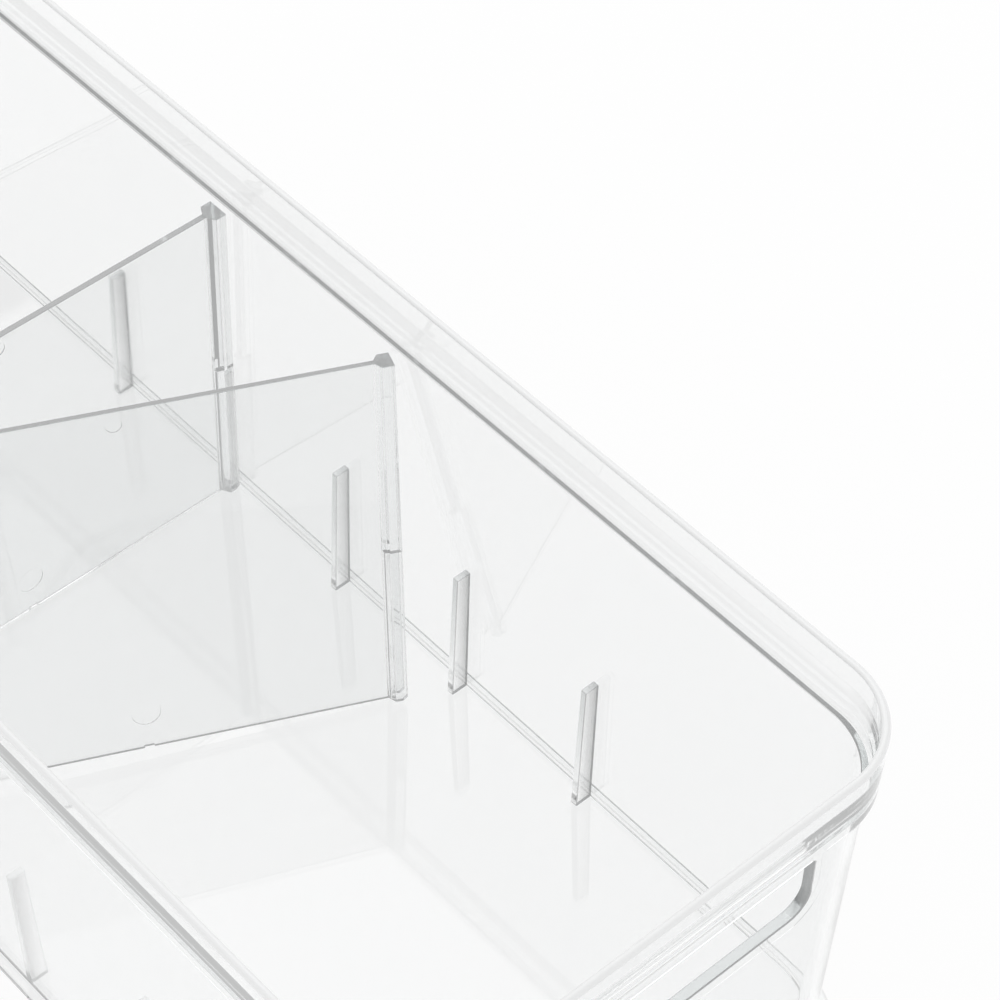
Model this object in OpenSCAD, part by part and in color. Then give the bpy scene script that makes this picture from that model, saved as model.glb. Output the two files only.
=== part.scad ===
// Clear storage tray with two lift-out dividers.
// Millimetres, +Z up. X runs along the tray, Y across it.
// The origin is the middle of the tray's underside.
//
// The tray is one moulding: a floor with a rim around it, four walls that lean out,
// a ledge, an upright collar above the ledge, ribs on the long walls and a finger slot
// in each end wall. Each divider is a plate with a grooved post at both ends. One is
// slid onto a pair of ribs. The other stands askew, caught between the long walls.

/* [Tray] */
// Inside length between the end walls, at the floor
floor_l = 393.2; // [340:0.1:480]
// Inside width between the long walls, at the floor
floor_w = 145.2; // [130:0.1:200]
// Radius of the inside corners, at the floor
floor_corner_r = 26; // [16:0.5:34]
// Thickness of the floor and of the rim around it
floor_t = 2.4; // [1.6:0.1:4]
// Chamfer between the floor and the walls
floor_chamfer = 1; // [0.3:0.1:1.4]
// How far the rim around the floor stands out past the walls
base_overhang = 2.6; // [1:0.1:4]
// Radius of the rim's corners
base_corner_r = 24.4; // [16:0.1:32]
// Thickness of the walls
wall_t = 2.2; // [1.6:0.1:3]
// Height of the walls, from the floor to the ledge
wall_h = 106.5; // [98:0.5:140]
// How far each wall leans out on its way up
wall_lean = 2.85; // [1.5:0.05:5]

/* [Collar] */
// Radius of the inside corners, at the ledge
ledge_corner_r = 22.5; // [16:0.5:30]
// Width of the ledge at the foot of the collar
ledge_w = 1.55; // [1:0.05:3]
// Thickness of the material below the ledge
ledge_t = 2; // [1.5:0.1:4]
// Thickness of the collar
collar_t = 2.2; // [1.6:0.1:3.5]
// Height of the collar above the ledge
collar_h = 17.3; // [8:0.1:24]
// How far the collar leans out on its way up
collar_lean = 0.9; // [0:0.05:1.5]
// Radius of the collar's outside corners, at the top
collar_corner_r = 25.2; // [20:0.1:30]

/* [Ribs] */
// Number of ribs on each long wall
rib_count = 5; // [3:2:5]
// Distance between the ribs
rib_pitch = 50; // [40:0.5:60]
// Thickness of a rib
rib_t = 1.95; // [1.4:0.05:2.6]
// Height of a rib above the floor
rib_h = 46; // [30:0.5:70]
// How far a rib stands out from the wall
rib_reach = 4.4; // [3.4:0.1:6]

/* [Finger slots] */
// Length of a slot across the tray
slot_w = 90; // [60:0.5:100]
// Height of a slot
slot_h = 19; // [14:0.5:30]
// Radius of a slot's lower corners
slot_corner_r = 6.5; // [3:0.5:9]
// Wall left between a slot and the ledge
slot_drop = 4.2; // [4:0.1:12]
// Width of the bead around the sides and the bottom of a slot
bead_w = 4.5; // [2:0.1:8]
// How far the bead stands out from the wall
bead_t = 0.9; // [0.4:0.1:1.5]

/* [Dividers] */
// Height of a divider
divider_h = 106.4; // [96:0.1:116]
// Gap between a divider's post and the long wall, at the floor
divider_gap = 1.6; // [1.2:0.1:2.2]
// How far each end of a divider leans out on its way up
divider_lean = 2; // [1:0.1:2.8]
// Thickness of a divider's plate
plate_t = 1.8; // [1.2:0.1:2.8]
// Width of a post along the tray
post_w = 6.8; // [5.6:0.1:9]
// Depth of a post's straight sides
post_side = 3.3; // [2.5:0.1:4]
// Depth of the shoulders that join a post to its plate
post_shoulder = 1.5; // [0.5:0.1:3]
// Play between a rib and each side of the groove around it
groove_play = 0.275; // [0.2:0.025:0.5]
// Gap between a rib's tip and the bottom of the groove
groove_tip_gap = 1.2; // [0.8:0.1:1.6]
// How far a groove runs up past the rib
groove_over = 2; // [1:0.5:6]
// Diameter of the ejector mark near a plate's lower edge
mark_d = 8; // [4:0.5:12]
// Distance of that mark from the lower edge
mark_in = 11.9; // [8:0.1:30]
// Diameter of the smaller ejector mark near the upper edge
top_mark_d = 4.4; // [2:0.2:6]
// Distance of that mark from the upper edge
top_mark_in = 3.9; // [3.6:0.1:20]
// Depth of both marks
mark_depth = 0.2; // [0.1:0.05:0.4]
// Width of the notch that the gate leaves in the lower edge
gate_w = 2.6; // [1:0.2:6]
// Depth of that notch
gate_depth = 0.5; // [0.2:0.1:1]

/* [Seated divider] */
// Number of rib pairs between it and the -X end
pairs_behind_count = 1; // [0:1:2]
// How far it has slid towards the +Y wall
seat_shift = 0.5; // [0:0.1:0.6]

/* [Loose divider] */
// Middle of its lower edge along the tray
loose_x = 12.8; // [12:0.1:30]
// How far its plate leans back, in degrees
loose_lean = 14.67; // [12:0.1:16]
// How far its lower edge slopes, in degrees
loose_slope = 1.89; // [1:0.1:2.5]
// Gap left where it meets the floor and the long walls
contact_gap = 0.3; // [0.2:0.05:0.5]

/* [Hidden] */
$fn = 96;

// Overrun of the cuts, and the thickness of the thin slabs that a loft spans
over = 1;
skin = 0.01;
clear_tint = [0.93, 0.96, 0.97, 0.45];
plate_tint = [0.86, 0.92, 0.95, 0.55];

// Levels above the underside
ledge_z = floor_t + wall_h;
top_z = ledge_z + collar_h;
slot_top_z = ledge_z - slot_drop;

// Inside size at the ledge, and the collar's inside and outside sizes
ledge_l = floor_l + 2 * wall_lean;
ledge_inner_w = floor_w + 2 * wall_lean;
collar_foot_l = ledge_l + 2 * ledge_w;
collar_foot_w = ledge_inner_w + 2 * ledge_w;
collar_foot_r = collar_corner_r - collar_t - collar_lean;

// Half the inside width at a height above the floor
function wall_y(h) = floor_w / 2 + wall_lean * h / wall_h;

// Place of a rib along the tray
function rib_x(i) = (i - (rib_count - 1) / 2) * rib_pitch;

// Sizes of a divider that follow from the tray it fits
divider_w = floor_w - 2 * divider_gap;
foot_y = divider_w / 2;
head_y = foot_y + divider_lean;
post_angle = atan(divider_lean / divider_h);
groove_w = rib_t + 2 * groove_play;
groove_d = rib_reach - divider_gap + groove_tip_gap;
groove_h = rib_h + groove_over;

// The loose divider stands on the lower corner of its +Y post. Its -Y post meets the
// -Y wall low down and its +Y post meets the +Y wall at the top, which sets its turn.
loose_z = floor_t + contact_gap + sin(loose_lean) * post_w / 2
    + sin(loose_slope) * cos(loose_lean) * foot_y;
near_h = loose_z - floor_t + sin(loose_lean) * post_w / 2
    + sin(loose_slope) * cos(loose_lean) * foot_y;
far_h = loose_z - floor_t - sin(loose_lean) * post_w / 2
    - sin(loose_slope) * cos(loose_lean) * head_y
    + cos(loose_slope) * cos(loose_lean) * divider_h;
span_cos = cos(loose_slope) * (foot_y + head_y) + sin(loose_slope) * divider_h;
span_sin = sin(loose_slope) * sin(loose_lean) * (foot_y + head_y)
    - cos(loose_slope) * sin(loose_lean) * divider_h - cos(loose_lean) * post_w;
span = wall_y(near_h) + wall_y(far_h) - 2 * contact_gap;
loose_turn = atan2(span_sin, span_cos) - acos(span / norm([span_cos, span_sin]));
loose_y = contact_gap - wall_y(near_h) - cos(loose_lean) * sin(loose_turn) * post_w / 2
    + (cos(loose_slope) * cos(loose_turn)
        + sin(loose_slope) * sin(loose_lean) * sin(loose_turn)) * foot_y;

// A rectangle with rounded corners, centred on the origin
module rounded(l, w, r) {
    square([l - 2 * r, w], center = true);
    square([l, w - 2 * r], center = true);
    for (x = [-1, 1], y = [-1, 1])
        translate([x * (l / 2 - r), y * (w / 2 - r)]) circle(r);
}

// A thin rounded slab, for the lofts
module slab(l, w, r, z) {
    translate([0, 0, z]) linear_extrude(skin) rounded(l, w, r);
}

// The solid inside the walls' outer faces, grown by a margin
module wall_block(grow) {
    side = 2 * (wall_t + grow);
    hull() {
        slab(floor_l + side, floor_w + side, floor_corner_r + wall_t, floor_t / 2);
        slab(ledge_l + side, ledge_inner_w + side, ledge_corner_r + wall_t, ledge_z - skin);
    }
}

// The solid inside the collar's outer face
module collar_block() {
    wide = 2 * (collar_t + collar_lean);
    hull() {
        slab(collar_foot_l + 2 * collar_t, collar_foot_w + 2 * collar_t,
            collar_foot_r + collar_t, ledge_z - ledge_t);
        slab(collar_foot_l + wide, collar_foot_w + wide, collar_corner_r, top_z - skin);
    }
}

// The space between the walls, from the floor up to the ledge
module wall_space() {
    hull() {
        slab(floor_l - 2 * floor_chamfer, floor_w - 2 * floor_chamfer,
            floor_corner_r - floor_chamfer, floor_t);
        slab(2 * wall_y(floor_chamfer) + floor_l - floor_w, 2 * wall_y(floor_chamfer),
            floor_corner_r, floor_t + floor_chamfer);
        slab(ledge_l, ledge_inner_w, ledge_corner_r, ledge_z);
    }
}

// The space inside the collar
module collar_space() {
    hull() {
        slab(collar_foot_l, collar_foot_w, collar_foot_r, ledge_z);
        slab(collar_foot_l + 2 * collar_lean, collar_foot_w + 2 * collar_lean,
            collar_foot_r + collar_lean, top_z + skin);
    }
}

// Outline with square upper and round lower corners, its upper edge on the X axis
module slot_outline(w, h, r) {
    translate([-w / 2, r - h]) square([w, h - r]);
    translate([r - w / 2, -h]) square([w - 2 * r, h]);
    for (x = [-1, 1])
        translate([x * (w / 2 - r), r - h]) circle(r);
}

// That outline run along the whole tray, its upper edge at a height
module slot_bar(w, h, r, z) {
    bar_l = floor_l + 2 * (wall_lean + wall_t + bead_t + over);
    translate([-bar_l / 2, 0, z])
        rotate([90, 0, 90]) linear_extrude(bar_l) slot_outline(w, h, r);
}

// One rib on the +Y wall, with its foot sunk into the floor and its back in the wall
module rib() {
    back = wall_t / 2;
    foot_z = floor_t / 2;
    translate([-rib_t / 2, 0, 0])
        rotate([90, 0, 90]) linear_extrude(rib_t)
            polygon([
                [wall_y(0) - rib_reach, foot_z],
                [wall_y(0) + back, foot_z],
                [wall_y(rib_h) + back, floor_t + rib_h],
                [wall_y(rib_h) - rib_reach, floor_t + rib_h]
            ]);
}

module tray() color(clear_tint) {
    rim = 2 * (wall_t + base_overhang);
    bead_top_z = ledge_z - ledge_t / 2;
    difference() {
        union() {
            linear_extrude(floor_t) rounded(floor_l + rim, floor_w + rim, base_corner_r);
            wall_block(0);
            collar_block();
            intersection() {
                wall_block(bead_t);
                slot_bar(slot_w + 2 * bead_w, bead_top_z - slot_top_z + slot_h + bead_w,
                    slot_corner_r + bead_w, bead_top_z);
            }
        }
        wall_space();
        collar_space();
        slot_bar(slot_w, slot_h, slot_corner_r, slot_top_z);
    }
    for (i = [0 : rib_count - 1], s = [0, 1])
        translate([rib_x(i), 0, 0]) mirror([0, s, 0]) rib();
}

// The post on a divider's +Y end, longer than the divider at both ends
module post() {
    translate([0, foot_y, 0]) rotate([-post_angle, 0, 0]) difference() {
        translate([0, 0, -over]) linear_extrude(divider_h + 2 * over) polygon([
            [-post_w / 2, 0],
            [-post_w / 2, -post_side],
            [-plate_t / 2, -post_side - post_shoulder],
            [plate_t / 2, -post_side - post_shoulder],
            [post_w / 2, -post_side],
            [post_w / 2, 0]
        ]);
        translate([-groove_w / 2, -groove_d, -2 * over])
            cube([groove_w, groove_d + over, groove_h + 2 * over]);
    }
}

// A divider with its lower edge on Z = 0 and its plate across X
module divider() color(plate_tint) {
    inset = post_side;
    difference() {
        union() {
            translate([-plate_t / 2, 0, 0])
                rotate([90, 0, 90]) linear_extrude(plate_t) polygon([
                    [inset - foot_y, 0],
                    [foot_y - inset, 0],
                    [head_y - inset, divider_h],
                    [inset - head_y, divider_h]
                ]);
            intersection() {
                translate([-post_w, -divider_w, 0]) cube([2 * post_w, 2 * divider_w, divider_h]);
                for (s = [0, 1]) mirror([0, s, 0]) post();
            }
        }
        for (mark = [[mark_d, mark_in], [top_mark_d, divider_h - top_mark_in]])
            translate([plate_t / 2 - mark_depth, 0, mark[1]])
                rotate([0, 90, 0]) cylinder(d = mark[0], h = mark_depth + over);
        translate([-plate_t / 2 - over, -gate_w / 2, -over])
            cube([plate_t + 2 * over, gate_w, gate_depth + over]);
    }
}

module seated_divider() {
    translate([rib_x(pairs_behind_count), seat_shift, floor_t]) divider();
}

module loose_divider() {
    translate([loose_x, loose_y, loose_z])
        rotate([-loose_slope, -loose_lean, loose_turn]) divider();
}

tray();
seated_divider();
loose_divider();
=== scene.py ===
import math

import bmesh
import bpy
import numpy as np
from mathutils import Matrix


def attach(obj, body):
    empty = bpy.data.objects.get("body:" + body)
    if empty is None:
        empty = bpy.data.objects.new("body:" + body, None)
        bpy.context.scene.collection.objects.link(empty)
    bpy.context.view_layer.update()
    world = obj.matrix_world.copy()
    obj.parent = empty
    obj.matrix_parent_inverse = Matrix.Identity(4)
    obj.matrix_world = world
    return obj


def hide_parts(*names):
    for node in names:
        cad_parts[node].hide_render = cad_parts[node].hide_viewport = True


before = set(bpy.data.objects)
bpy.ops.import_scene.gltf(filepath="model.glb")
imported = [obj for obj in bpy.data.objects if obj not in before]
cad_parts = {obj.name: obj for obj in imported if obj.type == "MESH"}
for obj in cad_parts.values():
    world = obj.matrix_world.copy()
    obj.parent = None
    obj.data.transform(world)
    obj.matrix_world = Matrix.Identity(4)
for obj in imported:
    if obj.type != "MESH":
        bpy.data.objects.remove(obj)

scene = bpy.context.scene
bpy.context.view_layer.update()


# ---------------------------------------------------------------- camera
# The view of the photograph: close, from above the near corner of the tray.
# Position in metres, turned by azimuth, elevation and a slight roll.
camera_place = (0.49857, -0.31975, 0.75064)
camera_azimuth = math.radians(47.942)
camera_elevation = math.radians(48.469)
camera_roll = math.radians(0.692)
camera_lens = 125.82
camera_sensor = 36.0

towards = np.array([
    math.cos(camera_elevation) * math.sin(camera_azimuth),
    -math.cos(camera_elevation) * math.cos(camera_azimuth),
    math.sin(camera_elevation),
])
level_right = np.cross((0.0, 0.0, 1.0), towards)
level_right /= np.linalg.norm(level_right)
level_up = np.cross(towards, level_right)
right = math.cos(camera_roll) * level_right + math.sin(camera_roll) * level_up
up = math.cos(camera_roll) * level_up - math.sin(camera_roll) * level_right

camera_data = bpy.data.cameras.new("view_camera")
camera_data.lens = camera_lens
camera_data.sensor_width = camera_sensor
camera_data.clip_start = 0.01
camera = bpy.data.objects.new("view_camera", camera_data)
scene.collection.objects.link(camera)
turn = Matrix((right, up, towards)).transposed().to_4x4()
camera.matrix_world = Matrix.Translation(camera_place) @ turn
scene.camera = camera


# ---------------------------------------------------------------- studio
# A white paper sweep, one wide soft box above the far side and a room that darkens overhead.
# Paper and room show white to the camera, and the paper keeps a faint shadow.
scene.view_settings.view_transform = "Standard"
scene.cycles.max_bounces = 32
scene.cycles.transmission_bounces = 24
scene.cycles.glossy_bounces = 13
scene.cycles.transparent_max_bounces = 16

paper_size = 8.0
paper_drop = 0.0002
paper_grey = (0.92, 0.92, 0.92, 1.0)
room_white = (1.0, 1.0, 1.0, 1.0)
room_light = 0.85
room_low = 0.85
room_high = 0.25
room_high_from = 0.5
soft_box_place = (-0.95, 0.85, 1.8)
soft_box_side = 1.5
soft_box_power = 8.5
paper_white = 1.0
paper_far_painted_glow = 0.7
paper_painted_falloff = (0.5, 1.6)
paper_glow_to_camera = 0.94
paper_glow_through_plastic = 0.92


def ray_share(tree, to_camera, through_plastic):
    """One value for a camera ray, another for a ray that comes by a face that mirrors or lets
    light through, and 0 for the rest."""
    path = tree.nodes.new("ShaderNodeLightPath")
    either = tree.nodes.new("ShaderNodeMath")
    either.operation = "MAXIMUM"
    tree.links.new(path.outputs["Is Glossy Ray"], either.inputs[0])
    tree.links.new(path.outputs["Is Transmission Ray"], either.inputs[1])
    plastic = tree.nodes.new("ShaderNodeMath")
    plastic.operation = "MULTIPLY"
    plastic.inputs[1].default_value = through_plastic
    tree.links.new(either.outputs[0], plastic.inputs[0])
    both = tree.nodes.new("ShaderNodeMath")
    both.operation = "MULTIPLY_ADD"
    both.inputs[1].default_value = to_camera
    tree.links.new(path.outputs["Is Camera Ray"], both.inputs[0])
    tree.links.new(plastic.outputs[0], both.inputs[2])
    return both.outputs[0]


def white_to_camera(tree, strength):
    """The given strength, raised to white for a camera ray."""
    path = tree.nodes.new("ShaderNodeLightPath")
    lift = tree.nodes.new("ShaderNodeMath")
    lift.operation = "MAXIMUM"
    tree.links.new(path.outputs["Is Camera Ray"], lift.inputs[0])
    tree.links.new(strength, lift.inputs[1])
    return lift.outputs[0]


room = bpy.data.worlds.new("white_room")
room.use_nodes = True
tree = room.node_tree
tree.nodes.clear()
direction = tree.nodes.new("ShaderNodeTexCoord")
rise = tree.nodes.new("ShaderNodeSeparateXYZ")
tree.links.new(direction.outputs["Generated"], rise.inputs[0])
fade = tree.nodes.new("ShaderNodeMapRange")
fade.interpolation_type = "SMOOTHSTEP"
fade.inputs["From Min"].default_value = 0.0
fade.inputs["From Max"].default_value = room_high_from
fade.inputs["To Min"].default_value = room_low
fade.inputs["To Max"].default_value = room_high
tree.links.new(rise.outputs["Z"], fade.inputs["Value"])
seen_room = tree.nodes.new("ShaderNodeBackground")
seen_room.inputs["Color"].default_value = room_white
tree.links.new(white_to_camera(tree, fade.outputs["Result"]), seen_room.inputs["Strength"])
lit_room = tree.nodes.new("ShaderNodeBackground")
lit_room.inputs["Color"].default_value = room_white
lit_room.inputs["Strength"].default_value = room_light
pick = tree.nodes.new("ShaderNodeMixShader")
tree.links.new(ray_share(tree, 1.0, 1.0), pick.inputs["Fac"])
tree.links.new(lit_room.outputs[0], pick.inputs[1])
tree.links.new(seen_room.outputs[0], pick.inputs[2])
world_out = tree.nodes.new("ShaderNodeOutputWorld")
tree.links.new(pick.outputs[0], world_out.inputs["Surface"])
scene.world = room

sweep_mesh = bpy.data.meshes.new("paper_sweep")
half = paper_size / 2
sweep_corners = ((-half, -half), (half, -half), (half, half), (-half, half))
sweep_mesh.from_pydata([(x, y, -paper_drop) for x, y in sweep_corners], [], [(0, 1, 2, 3)])
sweep = bpy.data.objects.new("paper_sweep", sweep_mesh)
scene.collection.objects.link(sweep)
paper = bpy.data.materials.new("white_paper")
paper.use_nodes = True
tree = paper.node_tree
tree.nodes.clear()
lit_paper = tree.nodes.new("ShaderNodeBsdfDiffuse")
lit_paper.inputs["Color"].default_value = paper_grey
white_paper = tree.nodes.new("ShaderNodeEmission")
white_paper.inputs["Color"].default_value = room_white
place = tree.nodes.new("ShaderNodeTexCoord")
reach = tree.nodes.new("ShaderNodeVectorMath")
reach.operation = "LENGTH"
tree.links.new(place.outputs["Object"], reach.inputs[0])
# Painted light: seen through the plastic, the paper's glow is a painted pool of light, full near
# the tray and fading further out.
painted_falloff = tree.nodes.new("ShaderNodeMapRange")
painted_falloff.interpolation_type = "SMOOTHSTEP"
painted_falloff.inputs["From Min"].default_value = paper_painted_falloff[0]
painted_falloff.inputs["From Max"].default_value = paper_painted_falloff[1]
painted_falloff.inputs["To Min"].default_value = paper_white
painted_falloff.inputs["To Max"].default_value = paper_far_painted_glow
tree.links.new(reach.outputs["Value"], painted_falloff.inputs["Value"])
tree.links.new(white_to_camera(tree, painted_falloff.outputs["Result"]), white_paper.inputs["Strength"])
blend = tree.nodes.new("ShaderNodeMixShader")
glow_share = ray_share(tree, paper_glow_to_camera, paper_glow_through_plastic)
tree.links.new(glow_share, blend.inputs["Fac"])
tree.links.new(lit_paper.outputs[0], blend.inputs[1])
tree.links.new(white_paper.outputs[0], blend.inputs[2])
paper_out = tree.nodes.new("ShaderNodeOutputMaterial")
tree.links.new(blend.outputs[0], paper_out.inputs["Surface"])
sweep.data.materials.append(paper)

lamp_data = bpy.data.lights.new("soft_box", "AREA")
lamp_data.shape = "SQUARE"
lamp_data.size = soft_box_side
lamp_data.energy = soft_box_power
lamp = bpy.data.objects.new("soft_box", lamp_data)
lamp.matrix_world = Matrix.Translation(soft_box_place)
scene.collection.objects.link(lamp)


# ---------------------------------------------------------------- tray
# One clear styrene moulding: floor with a thin rim, leaning walls, ledge, upright collar.
# Every corner of its section has the small radius of the mould.
MM = 0.001
floor_l = 393.2
floor_w = 145.2
floor_t = 2.4
wall_t = 2.2
wall_h = 106.5
wall_lean = 2.85
base_overhang = 2.6
ledge_w = 1.55
ledge_t = 2.0
collar_t = 2.2
collar_h = 17.3
collar_lean = 0.9
step_low = 3.2
step_high = 10.2
step_in = 0.98
ledge_z = floor_t + wall_h
top_z = ledge_z + collar_h
shoulder_z = ledge_z - ledge_t
shoulder_out = wall_t + wall_lean * (wall_h - ledge_t) / wall_h
ledge_out = wall_lean + ledge_w
flat_edge = -6.0
# Each line is one corner of the wall's section: how far out from the inside floor's
# edge, height, radius of the ring around the tray there, and rounding of the corner.
tray_section = np.array([
    (flat_edge, floor_t, 22.0, 0.0),
    (0.0, floor_t, 26.0, 0.4),
    (wall_lean, ledge_z, 22.5, 0.35),
    (ledge_out, ledge_z, 22.1, 0.5),
    (ledge_out, ledge_z + step_low, 22.1, 6.0),
    (ledge_out + step_in, ledge_z + step_high, 23.0, 6.0),
    (ledge_out + collar_lean, top_z, 23.0, 0.8),
    (ledge_out + collar_lean + collar_t, top_z, 25.2, 1.1),
    (ledge_out + collar_t, shoulder_z, 24.3, 0.5),
    (shoulder_out, shoulder_z, 24.7, 0.5),
    (wall_t, floor_t, 28.2, 0.8),
    (wall_t + base_overhang, floor_t, 24.4, 0.6),
    (wall_t + base_overhang, 0.0, 24.4, 0.6),
    (flat_edge, 0.0, 22.0, 0.0),
])
corner_steps = 36
smooth_angle = 32


def soft_section(section):
    """The section's corners, each replaced by an arc tangent to both sides, whose centre lies on
    the corner's bisector. A larger arc has more steps."""
    rows = [section[0, :3]]
    for before, here, after in zip(section[:-2], section[1:-1], section[2:]):
        back, ahead = before[:2] - here[:2], after[:2] - here[:2]
        back_l, ahead_l = np.linalg.norm(back), np.linalg.norm(ahead)
        back, ahead = back / back_l, ahead / ahead_l
        angle = math.acos(np.clip(back @ ahead, -1, 1))
        cut = here[3] / math.tan(angle / 2)
        middle = (back + ahead) / np.linalg.norm(back + ahead)
        centre = here[:2] + middle * here[3] / math.sin(angle / 2)
        start, end = here[:2] + back * cut - centre, here[:2] + ahead * cut - centre
        swing = math.pi - angle
        steps = math.ceil(8 * math.sqrt(here[3]))
        share = np.linspace(0, 1, steps + 1)[:, None]
        arc = start * np.sin((1 - share) * swing) + end * np.sin(share * swing)
        arc = centre + arc / math.sin(swing)
        from_r = here[2] + (before[2] - here[2]) * cut / back_l
        to_r = here[2] + (after[2] - here[2]) * cut / ahead_l
        rows.append(np.column_stack([arc, from_r + (to_r - from_r) * share[:, 0]]))
    rows.append(section[-1, :3])
    return np.vstack(rows)


def rounded_rings(length, width, section, steps):
    """One ring of points for each row (out, height, radius): a rectangle grown by out on every
    side, its corners quarter circles of that radius."""
    out, height, radius = section.T[:, :, None]
    turns = np.linspace(0, math.pi / 2, steps + 1)
    angle = np.concatenate([turns + quarter * math.pi / 2 for quarter in range(4)])
    side_x = np.repeat([1, -1, -1, 1], steps + 1)
    side_y = np.repeat([1, 1, -1, -1], steps + 1)
    x = side_x * (length / 2 + out - radius) + radius * np.cos(angle)
    y = side_y * (width / 2 + out - radius) + radius * np.sin(angle)
    return np.stack([x, y, np.broadcast_to(height, x.shape)], axis=-1)


def skin_rings(name, rings):
    """A closed mesh over rings of points: a quad between neighbours along and around, and one
    flat face over the first and the last ring. The sizes come in millimetres."""
    count, around, _ = rings.shape
    index = np.arange(count * around).reshape(count, around)
    after = np.roll(index, -1, axis=1)
    quads = np.stack([index[:-1], index[1:], after[1:], after[:-1]], axis=-1).reshape(-1, 4)
    mesh = bpy.data.meshes.new(name)
    faces = quads.tolist() + [index[0].tolist(), index[-1][::-1].tolist()]
    mesh.from_pydata((rings.reshape(-1, 3) * MM).tolist(), [], faces)
    shell = bmesh.new()
    shell.from_mesh(mesh)
    bmesh.ops.recalc_face_normals(shell, faces=shell.faces)
    shell.to_mesh(mesh)
    shell.free()
    piece = bpy.data.objects.new(name, mesh)
    scene.collection.objects.link(piece)
    return piece


def finished_mesh(piece):
    """Replaces a piece's mesh by what its modifiers make of it."""
    shown = piece.evaluated_get(bpy.context.evaluated_depsgraph_get())
    mesh = bpy.data.meshes.new_from_object(shown)
    piece.modifiers.clear()
    piece.data = mesh


def combine(piece, other, operation):
    """Adds another closed piece to this one, or cuts it away, and drops the other."""
    change = piece.modifiers.new(operation.lower(), "BOOLEAN")
    change.operation = operation
    change.object = other
    change.solver = "EXACT"
    finished_mesh(piece)
    bpy.data.objects.remove(other)


def smooth_faces(piece, angle):
    """Smooth shading that stops at edges sharper than the angle, led by the largest faces."""
    piece.data.polygons.foreach_set("use_smooth", np.ones(len(piece.data.polygons), dtype=bool))
    piece.data.set_sharp_from_angle(angle=math.radians(angle))
    even = piece.modifiers.new("even_normals", "WEIGHTED_NORMAL")
    even.keep_sharp = True
    finished_mesh(piece)


tray = skin_rings("clear_tray", rounded_rings(
    floor_l, floor_w, soft_section(tray_section), corner_steps))

# Ribs that hold the dividers, five on each long wall, moulded with it.
rib_pitch = 50.0
rib_t = 1.95
rib_foot_t = 2.3
rib_h = 46.0
rib_reach = 4.4
rib_foot_reach = 5.2
rib_rounding = 0.3


def wall_y(height):
    """Half the inside width at a height above the floor."""
    return floor_w / 2 + wall_lean * height / wall_h


def join_pieces(name, pieces):
    """One piece that holds several loose ones."""
    verts, faces, start = [], [], 0
    for piece in pieces:
        count = len(piece.data.vertices)
        points = np.empty(count * 3)
        piece.data.vertices.foreach_get("co", points)
        verts.append(points.reshape(-1, 3))
        faces += [[v + start for v in face.vertices] for face in piece.data.polygons]
        start += count
        bpy.data.objects.remove(piece)
    mesh = bpy.data.meshes.new(name)
    mesh.from_pydata(np.vstack(verts).tolist(), [], faces)
    mesh.update()
    whole = bpy.data.objects.new(name, mesh)
    scene.collection.objects.link(whole)
    return whole


def rib(x, side):
    """A prism with its back in the wall and its foot in the floor, wider and deeper at the foot
    so that it leaves the mould."""
    rings = []
    foot, head = (-floor_t / 2, rib_foot_t, rib_foot_reach), (rib_h, rib_t, rib_reach)
    for height, thick, reach in (foot, head):
        tip, back = wall_y(height) - reach, wall_y(height) + wall_t / 2
        corners = [(-thick / 2, tip), (thick / 2, tip), (thick / 2, back), (-thick / 2, back)]
        rings.append([(x + a, side * b, floor_t + height) for a, b in corners])
    piece = skin_rings("rib", np.array(rings))
    ease = piece.modifiers.new("mould_radius", "BEVEL")
    ease.width = rib_rounding * MM
    ease.segments = 3
    finished_mesh(piece)
    return piece


ribs = join_pieces("ribs", [rib((i - 2) * rib_pitch, side) for i in range(5) for side in (1, -1)])
combine(tray, ribs, "UNION")

# A finger slot in each end wall, with a bead standing out around its sides and bottom.
slot_w = 90.0
slot_h = 19.0
slot_corner_r = 6.5
slot_drop = 4.2
bead_w = 4.5
bead_t = 0.9
bead_rounding = 0.45
slot_rounding = 0.45
slot_top_r = 0.6
slot_past = 6
slot_top_z = ledge_z - slot_drop


def slot_ring(grow, out, z_top, side):
    """The slot's outline grown by a margin, square above and round below, on the end wall's
    outer face moved out by a distance. Its upper edge lies at z_top."""
    low_r, top_r = slot_corner_r + grow, slot_top_r + grow
    half = slot_w / 2 + grow
    z_low = slot_top_z - slot_h - grow
    turns = np.linspace(0, math.pi / 2, 13)
    y = np.concatenate([
        half - top_r + top_r * np.cos(turns), -half + top_r - top_r * np.sin(turns),
        -half + low_r - low_r * np.cos(turns), half - low_r + low_r * np.sin(turns)])
    z = np.concatenate([
        z_top - top_r + top_r * np.sin(turns), z_top - top_r + top_r * np.cos(turns),
        z_low + low_r - low_r * np.sin(turns), z_low + low_r - low_r * np.cos(turns)])
    x = floor_l / 2 + wall_t + wall_lean * (z - floor_t) / wall_h + out
    return np.column_stack([side * x, y, z])


def bead(side):
    """The bead: a plate over the slot's place whose upper end runs into the shoulder. Its edge is
    a quarter circle."""
    z_top = shoulder_z + ledge_t / 2
    rings = [slot_ring(bead_w, -wall_t / 2, z_top, side)]
    for t in np.linspace(0, math.pi / 2, 6):
        grow = bead_w - bead_rounding * (1 - math.cos(t))
        out = bead_t - bead_rounding * (1 - math.sin(t))
        rings.append(slot_ring(grow, out, z_top, side))
    return skin_rings("bead", np.array(rings))


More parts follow.
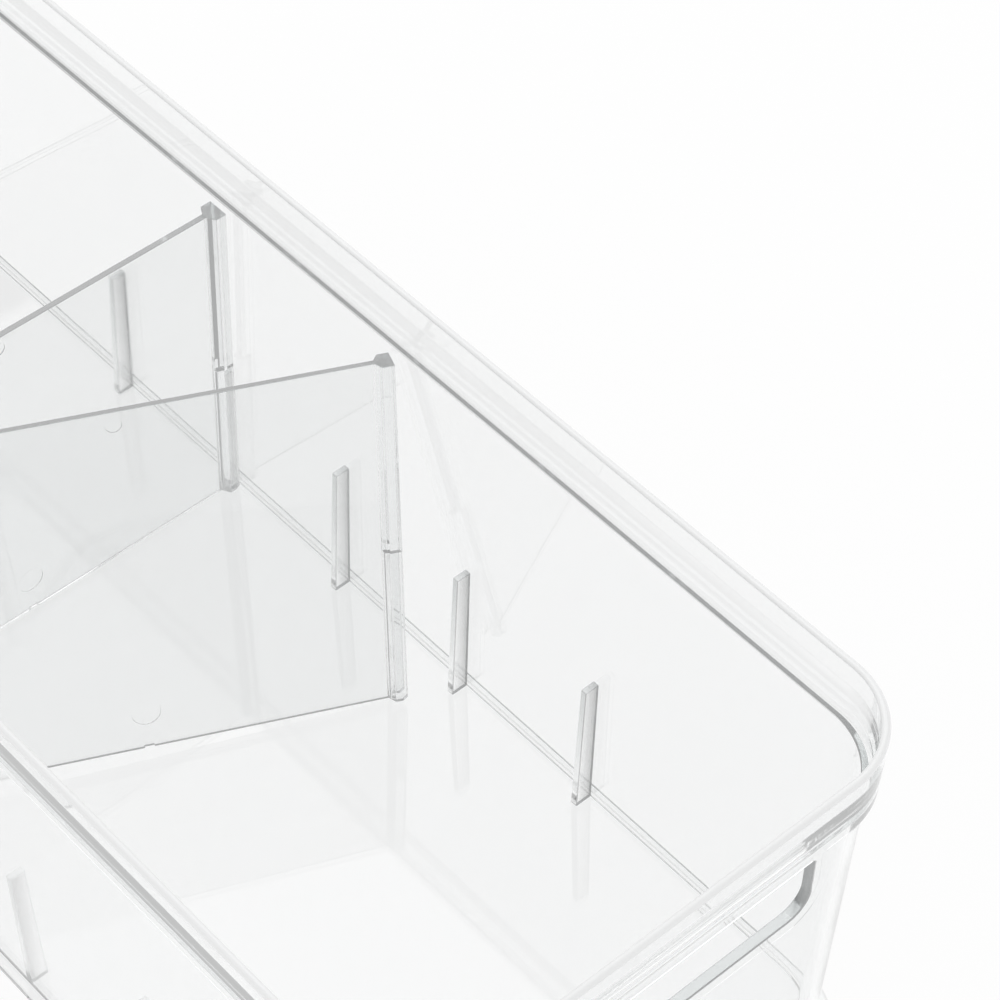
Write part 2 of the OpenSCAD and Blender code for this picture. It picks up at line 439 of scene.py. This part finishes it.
def slot_cutter(side):
    """The slot's space through the wall, flared by a quarter circle at both faces."""
    flare = np.linspace(0, math.pi / 2, 6)
    near = slot_rounding * (1 - np.cos(flare))
    far = slot_rounding * (1 - np.sin(flare))
    places = [(slot_rounding, bead_t + slot_past), *zip(far, bead_t - near),
              *zip(near, far - wall_t), (slot_rounding, -wall_t - slot_past)]
    rings = [slot_ring(grow, out, slot_top_z + grow, side) for grow, out in places]
    return skin_rings("slot", np.array(rings))


combine(tray, join_pieces("beads", [bead(1), bead(-1)]), "UNION")
combine(tray, join_pieces("slots", [slot_cutter(1), slot_cutter(-1)]), "DIFFERENCE")
smooth_faces(tray, smooth_angle)


# Clear styrene: transmits nearly all light, dims a little at each face and along
# the way through, which makes the edges grey. A moulded surface is never quite flat.
tray_tint = (0.898, 0.902, 0.902, 1.0)
tray_wave_size = 22.0
tray_density = 13.0
wave_depth = 0.00004
patch_size = 40.0
patch_range = (0.35, 0.75)
# Painted light: every face of the plastic glows faintly.
painted_face_glow = 0.03
styrene_ior = 1.55
absorb_tint = (0.55, 0.58, 0.58, 1.0)


def mould_waves():
    """A group that gives a faint uneven height, from the mould's polish, and a mask of wiped and
    unwiped patches."""
    group = bpy.data.node_groups.new("mould_waves", "ShaderNodeTree")
    group.interface.new_socket("Wave Size", in_out="INPUT", socket_type="NodeSocketFloat")
    group.interface.new_socket("Patch Size", in_out="INPUT", socket_type="NodeSocketFloat")
    group.interface.new_socket("Height", in_out="OUTPUT", socket_type="NodeSocketFloat")
    group.interface.new_socket("Patches", in_out="OUTPUT", socket_type="NodeSocketFloat")
    nodes, links = group.nodes, group.links
    inputs, outputs = nodes.new("NodeGroupInput"), nodes.new("NodeGroupOutput")
    place = nodes.new("ShaderNodeTexCoord")
    wave = nodes.new("ShaderNodeTexNoise")
    wave.inputs["Detail"].default_value = 1.5
    links.new(place.outputs["Object"], wave.inputs["Vector"])
    links.new(inputs.outputs["Wave Size"], wave.inputs["Scale"])
    patch = nodes.new("ShaderNodeTexNoise")
    patch.inputs["Detail"].default_value = 4.0
    links.new(place.outputs["Object"], patch.inputs["Vector"])
    links.new(inputs.outputs["Patch Size"], patch.inputs["Scale"])
    links.new(wave.outputs["Fac"], outputs.inputs["Height"])
    links.new(patch.outputs["Fac"], outputs.inputs["Patches"])
    return group


waves_group = mould_waves()


def clear_styrene(name, tint, wave_size, density, dull=(0.0, 0.06), clear=1.0, glow=painted_face_glow):
    """Clear plastic: a Principled surface that transmits, with absorption inside. A painted glow
    at each face, glow, stands for what the plastic scatters, so that a long way through it ends in
    grey. dull is the roughness of the wiped and of the unwiped patches."""
    material = bpy.data.materials.new(name)
    material.use_nodes = True
    tree = material.node_tree
    tree.nodes.clear()
    surface = tree.nodes.new("ShaderNodeBsdfPrincipled")
    surface.inputs["Base Color"].default_value = tint
    surface.inputs["Transmission Weight"].default_value = clear
    surface.inputs["IOR"].default_value = styrene_ior
    surface.inputs["Emission Color"].default_value = (1.0, 1.0, 1.0, 1.0)
    surface.inputs["Emission Strength"].default_value = glow
    waves = tree.nodes.new("ShaderNodeGroup")
    waves.node_tree = waves_group
    waves.inputs["Wave Size"].default_value = wave_size
    waves.inputs["Patch Size"].default_value = patch_size
    rough = tree.nodes.new("ShaderNodeMapRange")
    rough.inputs["From Min"].default_value = patch_range[0]
    rough.inputs["From Max"].default_value = patch_range[1]
    rough.inputs["To Min"].default_value = dull[0]
    rough.inputs["To Max"].default_value = dull[1]
    tree.links.new(waves.outputs["Patches"], rough.inputs["Value"])
    tree.links.new(rough.outputs["Result"], surface.inputs["Roughness"])
    bump = tree.nodes.new("ShaderNodeBump")
    bump.inputs["Strength"].default_value = 1.0
    bump.inputs["Distance"].default_value = wave_depth
    tree.links.new(waves.outputs["Height"], bump.inputs["Height"])
    tree.links.new(bump.outputs["Normal"], surface.inputs["Normal"])
    inside = tree.nodes.new("ShaderNodeVolumeAbsorption")
    inside.inputs["Color"].default_value = absorb_tint
    inside.inputs["Density"].default_value = density
    out = tree.nodes.new("ShaderNodeOutputMaterial")
    tree.links.new(surface.outputs[0], out.inputs["Surface"])
    tree.links.new(inside.outputs[0], out.inputs["Volume"])
    return material


tray_plastic = clear_styrene("clear_tray_styrene", tray_tint, tray_wave_size, tray_density)
tray.data.materials.append(tray_plastic)

# The ribs' faces come from narrow slots in the mould that can't be polished: they keep upright
# drawn streaks. Their colour is painted darker towards the wall, a painted shade, and a stronger
# painted glow lifts them.
streak_size = 1400.0
streak_stretch = 0.03
streak_depth = 0.00003
streak_range = (0.3, 0.7)
rib_dull = (0.05, 0.22)
painted_rib_glow = 0.09
tip_painted_shade = 0.98
root_painted_shade = 0.4
streak_shade = 0.88
unpolished_density = 20.0
drawn_plastic_painted_shade = clear_styrene("drawn_styrene_painted_shade", tray_tint, tray_wave_size, unpolished_density,
                              glow=painted_rib_glow)
tree = drawn_plastic_painted_shade.node_tree
surface = tree.nodes["Principled BSDF"]
place = tree.nodes.new("ShaderNodeTexCoord")
upright = tree.nodes.new("ShaderNodeVectorMath")
upright.operation = "MULTIPLY"
upright.inputs[1].default_value = (1.0, 1.0, streak_stretch)
tree.links.new(place.outputs["Object"], upright.inputs[0])
streaks = tree.nodes.new("ShaderNodeTexNoise")
streaks.inputs["Scale"].default_value = streak_size
streaks.inputs["Detail"].default_value = 2.0
tree.links.new(upright.outputs["Vector"], streaks.inputs["Vector"])
drawn = tree.nodes.new("ShaderNodeBump")
drawn.inputs["Strength"].default_value = 1.0
drawn.inputs["Distance"].default_value = streak_depth
tree.links.new(streaks.outputs["Fac"], drawn.inputs["Height"])
tree.links.new(drawn.outputs["Normal"], surface.inputs["Normal"])
# Painted shade: the colour darkens from the rib's tip to its root in the wall.
apart = tree.nodes.new("ShaderNodeSeparateXYZ")
tree.links.new(place.outputs["Object"], apart.inputs[0])
sideways = tree.nodes.new("ShaderNodeMath")
sideways.operation = "ABSOLUTE"
tree.links.new(apart.outputs["Y"], sideways.inputs[0])
painted_shade_ramp = tree.nodes.new("ShaderNodeMapRange")
painted_shade_ramp.inputs["From Min"].default_value = (wall_y(0) - rib_foot_reach) * MM
painted_shade_ramp.inputs["From Max"].default_value = wall_y(rib_h) * MM
painted_shade_ramp.inputs["To Min"].default_value = tip_painted_shade
painted_shade_ramp.inputs["To Max"].default_value = root_painted_shade
tree.links.new(sideways.outputs[0], painted_shade_ramp.inputs["Value"])
# The painted shade, times the streaks' own random tone.
tint = tree.nodes.new("ShaderNodeMath")
tint.operation = "MULTIPLY"
shade = tree.nodes.new("ShaderNodeMapRange")
shade.inputs["From Min"].default_value = streak_range[0]
shade.inputs["From Max"].default_value = streak_range[1]
shade.inputs["To Min"].default_value = streak_shade
shade.inputs["To Max"].default_value = 1.0
tree.links.new(streaks.outputs["Fac"], shade.inputs["Value"])
tree.links.new(painted_shade_ramp.outputs["Result"], tint.inputs[0])
tree.links.new(shade.outputs["Result"], tint.inputs[1])
tree.links.new(tint.outputs[0], surface.inputs["Base Color"])
dull = tree.nodes.new("ShaderNodeMapRange")
dull.inputs["To Min"].default_value = rib_dull[0]
dull.inputs["To Max"].default_value = rib_dull[1]
tree.links.new(streaks.outputs["Fac"], dull.inputs["Value"])
tree.links.new(dull.outputs["Result"], surface.inputs["Roughness"])
tray.data.materials.append(drawn_plastic_painted_shade)

# The round top edge is a soft pale band: mostly white frosted plastic, a painted highlight along
# the rim, and a painted glow.
edge_painted_highlight_tint = (0.96, 0.962, 0.962, 1.0)
painted_edge_glow = 0.08
edge_h = 1.15
edge_plastic = clear_styrene("soft_edge_styrene", edge_painted_highlight_tint, tray_wave_size, unpolished_density,
                             dull=(0.15, 0.25), clear=0.2, glow=painted_edge_glow)
tray.data.materials.append(edge_plastic)


def face_middles(piece):
    """The middle of every face, as rows x, y and z in millimetres."""
    middle = np.empty(len(piece.data.polygons) * 3)
    piece.data.polygons.foreach_get("center", middle)
    return middle.reshape(-1, 3).T / MM


# A face belongs to a rib if its middle lies within the rib's thickness, clear of floor and wall.
rib_slack = 0.1
ribs_end = 2.2 * rib_pitch
x, y, z = face_middles(tray)
off_rib = np.abs((x + rib_pitch / 2) % rib_pitch - rib_pitch / 2)
on_rib = ((off_rib < rib_foot_t / 2 + rib_slack / 2) & (np.abs(x) < ribs_end)
          & (z > floor_t + 2 * rib_slack) & (z < floor_t + rib_h + rib_slack)
          & (np.abs(y) < wall_y(z - floor_t) - 2 * rib_slack))
on_top = z > top_z - edge_h
tray.data.polygons.foreach_set("material_index", (on_rib + 2 * on_top).astype(np.int32))
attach(tray, "tray")
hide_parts("tray")


# ---------------------------------------------------------------- dividers
# Two identical clear mouldings: a plate with a post at each end, whose groove
# slides over a rib. Round ejector marks show near the lower and the upper edge.
divider_h = 106.4
divider_gap = 1.6
divider_lean = 2.0
plate_t = 1.8
post_w = 6.8
post_side = 3.3
post_shoulder = 1.5
groove_w = 2.5
groove_d = 4.0
groove_h = 48.0
mark_d = 8.0
mark_in = 11.9
top_mark_d = 4.4
top_mark_in = 3.9
mark_depth = 0.2
mark_draft = 0.05
mark_steps = 48
gate_w = 2.6
gate_depth = 0.5
divider_rounding = 0.25
rounded_from = 25
cut_past = 2
foot_cut = 1.2
foot_gap = 0.05
foot_y = floor_w / 2 - divider_gap
divider_wave_size = 26.0
divider_density = 13.0
divider_tint = (0.865, 0.87, 0.87, 1.0)
divider_plastic = clear_styrene("clear_divider_styrene", divider_tint, divider_wave_size,
                                divider_density)

# The dividers' upper edges get a lighter tint, a little more roughness and a painted glow: painted
# light that lifts them.
divider_edge_painted_light_tint = (0.93, 0.932, 0.932, 1.0)
divider_edge_plastic = clear_styrene("soft_divider_edge_styrene", divider_edge_painted_light_tint,
                                     divider_wave_size, divider_density, dull=(0.05, 0.12),
                                     glow=painted_edge_glow)


def box_piece(name, low, high):
    """A box between two corners, in millimetres."""
    (x0, y0, z0), (x1, y1, z1) = low, high
    rings = [[(x0, y0, z), (x1, y0, z), (x1, y1, z), (x0, y1, z)] for z in (z0, z1)]
    return skin_rings(name, np.array(rings))


def divider(name):
    """The plate and both posts as one outline, which grows by the lean from foot to head, less
    the grooves, the notch of the gate and the round marks."""
    half_p, half_w = plate_t / 2, post_w / 2
    end = [(-half_p, post_side + post_shoulder), (-half_w, post_side), (-half_w, 0),
           (half_w, 0), (half_w, post_side), (half_p, post_side + post_shoulder)]
    slope = divider_lean / divider_h
    rings = []
    for z, inset in ((foot_gap, foot_cut), (foot_cut, 0), (divider_h, 0)):
        reach = foot_y + slope * z - inset
        far = [(x, reach - max(deep - inset, 0), z) for x, deep in end]
        near = [(-x, -y, z) for x, y, z in far]
        rings.append(far + near)
    piece = skin_rings(name, np.array(rings))
    grooves = []
    for side in (1, -1):
        rings = []
        for z in (-cut_past, groove_h):
            bottom, mouth = foot_y + slope * z - groove_d, foot_y + slope * z + cut_past
            rings.append([(side * a * groove_w / 2, side * b, z)
                          for a, b in ((-1, bottom), (1, bottom), (1, mouth), (-1, mouth))])
        grooves.append(skin_rings("groove", np.array(rings)))
    combine(piece, join_pieces("grooves", grooves), "DIFFERENCE")
    gate = box_piece("gate", (-plate_t, -gate_w / 2, -1), (plate_t, gate_w / 2, gate_depth))
    combine(piece, gate, "DIFFERENCE")
    ease = piece.modifiers.new("mould_radius", "BEVEL")
    ease.width = divider_rounding * MM
    ease.segments = 3
    ease.limit_method = "ANGLE"
    ease.angle_limit = math.radians(rounded_from)
    finished_mesh(piece)
    turns = np.linspace(0, 2 * math.pi, mark_steps + 1)[:-1]
    marks = []
    for wide, z in ((mark_d, mark_in), (top_mark_d, divider_h - top_mark_in)):
        rings = []
        for out, grow in ((1, 1), (0, 0), (-mark_depth, -mark_draft)):
            r = wide / 2 + grow
            x = np.full(mark_steps, plate_t / 2 + out)
            rings.append(np.column_stack([x, r * np.cos(turns), z + r * np.sin(turns)]))
        marks.append(skin_rings("mark", np.array(rings)))
    combine(piece, join_pieces("marks", marks), "DIFFERENCE")
    smooth_faces(piece, smooth_angle)
    piece.data.materials.append(divider_plastic)
    piece.data.materials.append(divider_edge_plastic)
    on_top = face_middles(piece)[2] > divider_h - 1.1 * divider_rounding
    piece.data.polygons.foreach_set("material_index", on_top.astype(np.int32))
    return piece


# The seated divider stands on the floor, on the second pair of ribs from the far end.
seat_shift = 0.5
seated = divider("clear_seated_divider")
seated.data.transform(Matrix.Translation((-rib_pitch * MM, seat_shift * MM, floor_t * MM)))
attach(seated, "seated_divider")
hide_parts("seated_divider")

# The loose divider stands askew, its far foot on the floor and its near end against the wall.
loose_place = (12.8 * MM, -6.80139 * MM, 5.82635 * MM)
loose_turn = math.radians(-24.5344)
loose_lean = math.radians(-14.67)
loose_slope = math.radians(-1.89)
loose = divider("clear_loose_divider")
loose.data.transform(Matrix.Translation(loose_place) @ Matrix.Rotation(loose_turn, 4, "Z")
                     @ Matrix.Rotation(loose_lean, 4, "Y") @ Matrix.Rotation(loose_slope, 4, "X"))
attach(loose, "loose_divider")
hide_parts("loose_divider")
